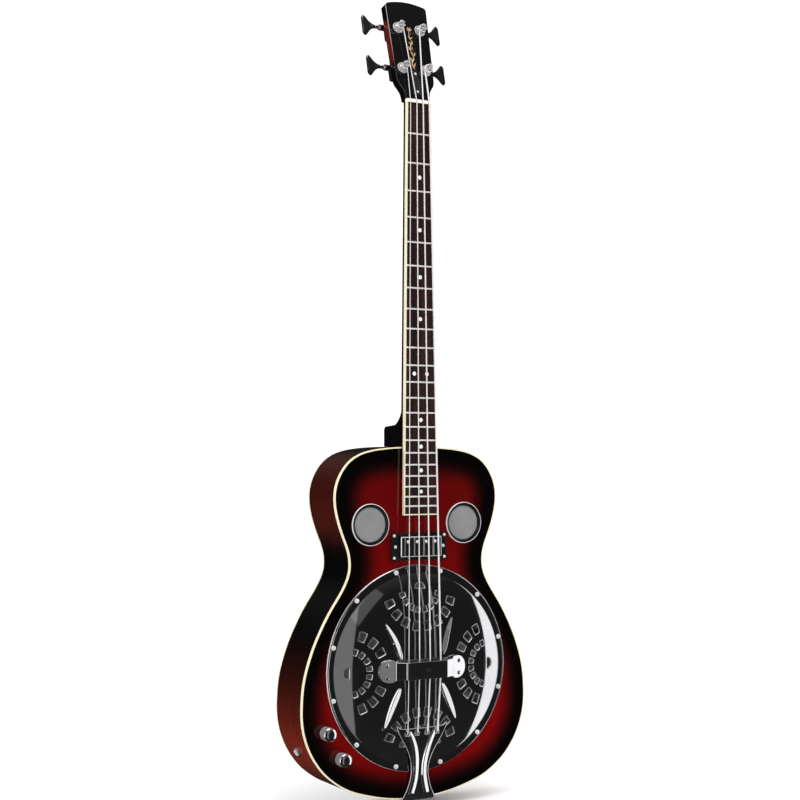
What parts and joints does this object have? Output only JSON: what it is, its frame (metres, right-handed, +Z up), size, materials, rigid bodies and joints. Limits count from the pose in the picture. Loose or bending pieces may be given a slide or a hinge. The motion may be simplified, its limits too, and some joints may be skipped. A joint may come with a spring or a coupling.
{
  "type": "resonator bass guitar",
  "caption": "Long-necked resonator bass guitar with a waisted wooden body, domed metal coverplate, palm rest, round sound screens, end tailpiece and geared tuners.",
  "frame": {"origin": "seat of the end strap button, where the body's lower end meets the middle of the rim's depth, on the centre line", "axes": "+Z up the neck towards the headstock, -Y out of the soundboard's face, +X towards the right of a viewer facing the front"},
  "size_m": [0.3724, 0.1115, 1.1762],
  "materials": {
    "lacquered_top": "high-gloss sunburst lacquer",
    "lacquered_back": "high-gloss lacquer",
    "cream_binding": "gloss",
    "lacquered_rim": "high-gloss lacquer",
    "inner_wood": "raw",
    "spun_aluminium": "spun",
    "cast_aluminium": "satin",
    "steel_screws": "satin",
    "saddle_maple": "oiled",
    "string_steel": "wound",
    "plate_chrome": "mirror",
    "chrome_hardware": "mirror",
    "black_plastic": "gloss",
    "neck_lacquer": "high-gloss lacquer",
    "rosewood": "oiled",
    "white_inlay": "gloss",
    "fret_wire": "polished",
    "nut_bone": "polished",
    "gold_inlay": "polished"
  },
  "bodies": {
    "instrument": {"soundboard": "lacquered_top", "back_panel": "lacquered_back", "front_binding": "cream_binding", "back_binding": "cream_binding", "side_rim": "lacquered_rim", "neck_block": "inner_wood", "end_block": "inner_wood", "front_lining": "inner_wood", "back_lining": "inner_wood", "soundwell": "inner_wood", "resonator_cone": "spun_aluminium", "spider_bridge": "cast_aluminium", "cone_tension_screw": "steel_screws", "bridge_saddle": "saddle_maple", "string_1": "string_steel", "string_2": "string_steel", "string_3": "string_steel", "string_4": "string_steel", "coverplate": "plate_chrome", "coverplate_screws": "chrome_hardware", "palm_rest": "chrome_hardware", "palm_rest_screws": "chrome_hardware", "sound_screen_left": "chrome_hardware", "sound_screen_right": "chrome_hardware", "pickup_ring": "black_plastic", "pickup_cover": "chrome_hardware", "pickup_coils": "black_plastic", "pickup_pole_screws": "steel_screws", "pickup_screws": "steel_screws", "control_pots": "steel_screws", "output_jack": "steel_screws", "control_nuts": "chrome_hardware", "tailpiece": "chrome_hardware", "tailpiece_screws": "chrome_hardware", "strap_button": "chrome_hardware", "neck": "neck_lacquer", "truss_rod": "steel_screws", "fretboard": "rosewood", "fretboard_binding": "cream_binding", "fret_markers": "white_inlay", "frets": "fret_wire", "nut": "nut_bone", "headstock_veneer": "neck_lacquer", "headstock_inlay": "gold_inlay", "truss_rod_cover": "black_plastic", "headstock_screws": "chrome_hardware", "tuner_housings": "chrome_hardware", "tuner_bushings": "chrome_hardware"},
    "volume_knob_unit": {"volume_knob": "chrome_hardware", "pot_shaft_volume": "steel_screws"},
    "tone_knob_unit": {"tone_knob": "chrome_hardware", "pot_shaft_tone": "steel_screws"},
    "key_1": {"tuner_key_1": "chrome_hardware"},
    "post_1": {"string_post_1": "chrome_hardware"},
    "key_2": {"tuner_key_2": "chrome_hardware"},
    "post_2": {"string_post_2": "chrome_hardware"},
    "key_3": {"tuner_key_3": "chrome_hardware"},
    "post_3": {"string_post_3": "chrome_hardware"},
    "key_4": {"tuner_key_4": "chrome_hardware"},
    "post_4": {"string_post_4": "chrome_hardware"}
  },
  "joints": [
    {"name": "key_1_turn", "type": "hinge", "parent": "instrument", "child": "key_1", "pos_m": [-0.0195, -0.00612, 1.06], "axis": [1, 0, 0], "continuous": true},
    {"name": "key_2_turn", "type": "hinge", "parent": "instrument", "child": "key_2", "pos_m": [-0.0185, 0.00954, 1.12278], "axis": [1, 0, 0], "continuous": true},
    {"name": "key_3_turn", "type": "hinge", "parent": "instrument", "child": "key_3", "pos_m": [0.0185, 0.00954, 1.12278], "axis": [1, 0, 0], "continuous": true},
    {"name": "key_4_turn", "type": "hinge", "parent": "instrument", "child": "key_4", "pos_m": [0.0195, -0.00612, 1.06], "axis": [1, 0, 0], "continuous": true},
    {"name": "post_1_turn", "type": "hinge", "parent": "instrument", "child": "post_1", "pos_m": [-0.0195, -0.00829, 1.05127], "axis": [0, -0.9703, 0.2419], "continuous": true},
    {"name": "post_2_turn", "type": "hinge", "parent": "instrument", "child": "post_2", "pos_m": [-0.0185, 0.00736, 1.11405], "axis": [0, -0.9703, 0.2419], "continuous": true},
    {"name": "post_3_turn", "type": "hinge", "parent": "instrument", "child": "post_3", "pos_m": [0.0185, 0.00736, 1.11405], "axis": [0, -0.9703, 0.2419], "continuous": true},
    {"name": "post_4_turn", "type": "hinge", "parent": "instrument", "child": "post_4", "pos_m": [0.0195, -0.00829, 1.05127], "axis": [0, -0.9703, 0.2419], "continuous": true},
    {"name": "volume_turn", "type": "hinge", "parent": "instrument", "child": "volume_knob_unit", "pos_m": [-0.149, -0.0405, 0.106], "axis": [0, -1, 0], "range_deg": [-140, 140]},
    {"name": "tone_turn", "type": "hinge", "parent": "instrument", "child": "tone_knob_unit", "pos_m": [-0.1248, -0.0405, 0.068], "axis": [0, -1, 0], "range_deg": [-140, 140]}
  ],
  "couplings": [
    {"joint": "post_1_turn", "follows": "key_1_turn", "ratio": 0.05},
    {"joint": "post_2_turn", "follows": "key_2_turn", "ratio": 0.05},
    {"joint": "post_3_turn", "follows": "key_3_turn", "ratio": 0.05},
    {"joint": "post_4_turn", "follows": "key_4_turn", "ratio": 0.05}
  ]
}
